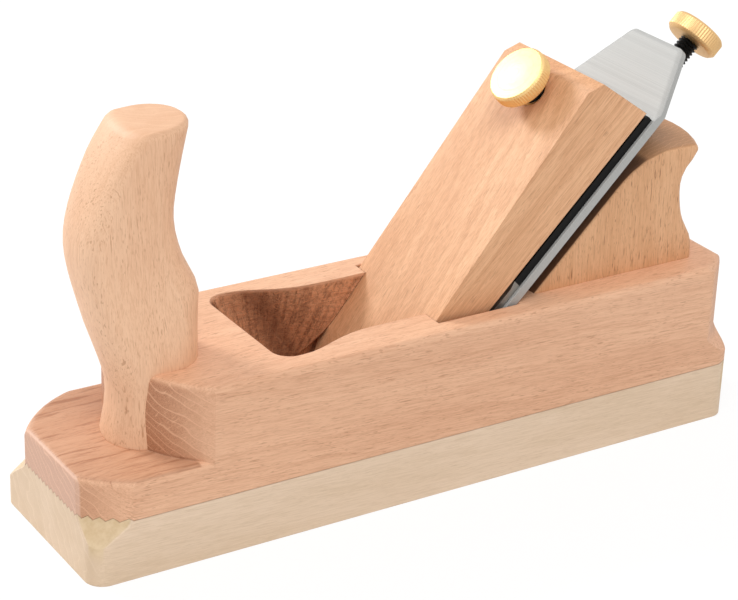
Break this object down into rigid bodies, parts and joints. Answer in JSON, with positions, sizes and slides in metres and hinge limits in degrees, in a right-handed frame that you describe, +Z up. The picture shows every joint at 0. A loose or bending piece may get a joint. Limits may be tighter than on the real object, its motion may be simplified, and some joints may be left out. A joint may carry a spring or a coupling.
{
  "type": "hand plane",
  "caption": "Horned wooden smoothing plane with a raised beech stock, toothed pale sole, double iron, wedge-shaped lever cap and brass adjusting knobs.",
  "frame": {"origin": "middle of the sole's flat underside", "axes": "+X to the toe, along the plane's length; +Y to its left side; +Z up, away from the sole"},
  "size_m": [0.2463, 0.064, 0.1358],
  "materials": {
    "beech_stock": "fine sanded, oiled",
    "hornbeam": "fine sanded, oiled",
    "beech_horn": "fine sanded, oiled",
    "beech_heel": "fine sanded, oiled",
    "beech_cap": "fine sanded, oiled",
    "beech_dowel": "plain",
    "tool_steel": "ground",
    "black_steel": "blackened, satin",
    "zinc_steel": "zinc plated",
    "brass": "turned and knurled"
  },
  "bodies": {
    "stock": {"stock": "beech_stock", "sole": "hornbeam", "horn": "beech_horn", "horn_dowel": "beech_dowel", "heel_block": "beech_heel", "heel_dowel_rear": "beech_dowel", "heel_dowel_front": "beech_dowel", "pivot_bush": "zinc_steel"},
    "pivot": {"adjuster_pivot": "zinc_steel"},
    "adjuster": {"adjuster_rod": "black_steel", "adjuster_knob": "brass", "rod_collar_upper": "zinc_steel", "rod_collar_lower": "zinc_steel"},
    "irons": {"iron": "tool_steel", "chip_breaker": "black_steel", "breaker_screw": "zinc_steel", "adjuster_carriage": "zinc_steel"},
    "lever_cap": {"lever_cap": "beech_cap", "cap_insert": "brass"},
    "clamp_foot": {"clamp_foot": "brass"},
    "clamp_screw": {"clamp_screw": "black_steel", "clamp_knob": "brass"}
  },
  "joints": [
    {"name": "iron_tilt", "type": "hinge", "parent": "stock", "child": "pivot", "pos_m": [-0.03424, 0, 0.03578], "axis": [0.7071, 0, 0.7071], "range_deg": [-0.6, 0.6]},
    {"name": "adjuster_spin", "type": "hinge", "parent": "pivot", "child": "adjuster", "pos_m": [-0.05248, 0, 0.06194], "axis": [-0.7071, 0, 0.7071], "range_deg": [-1153, 231]},
    {"name": "iron_slide", "type": "slide", "parent": "pivot", "child": "irons", "axis": [0.7071, 0, -0.7071], "range_m": [-0.004, 0.0008]},
    {"name": "cap_slide", "type": "slide", "parent": "stock", "child": "lever_cap", "axis": [-0.6244, 0, 0.7811], "range_m": [0, 0.03]},
    {"name": "clamp_slide", "type": "slide", "parent": "lever_cap", "child": "clamp_foot", "axis": [0.7071, 0, 0.7071], "range_m": [0, 0.005]},
    {"name": "clamp_spin", "type": "hinge", "parent": "clamp_foot", "child": "clamp_screw", "pos_m": [-0.05743, 0, 0.11271], "axis": [0.7071, 0, 0.7071], "range_deg": [0, 1441]}
  ],
  "couplings": [
    {"joint": "adjuster_spin", "follows": "iron_slide", "rad_per_m": 5026.5},
    {"joint": "clamp_spin", "follows": "clamp_slide", "rad_per_m": 5026.5}
  ]
}
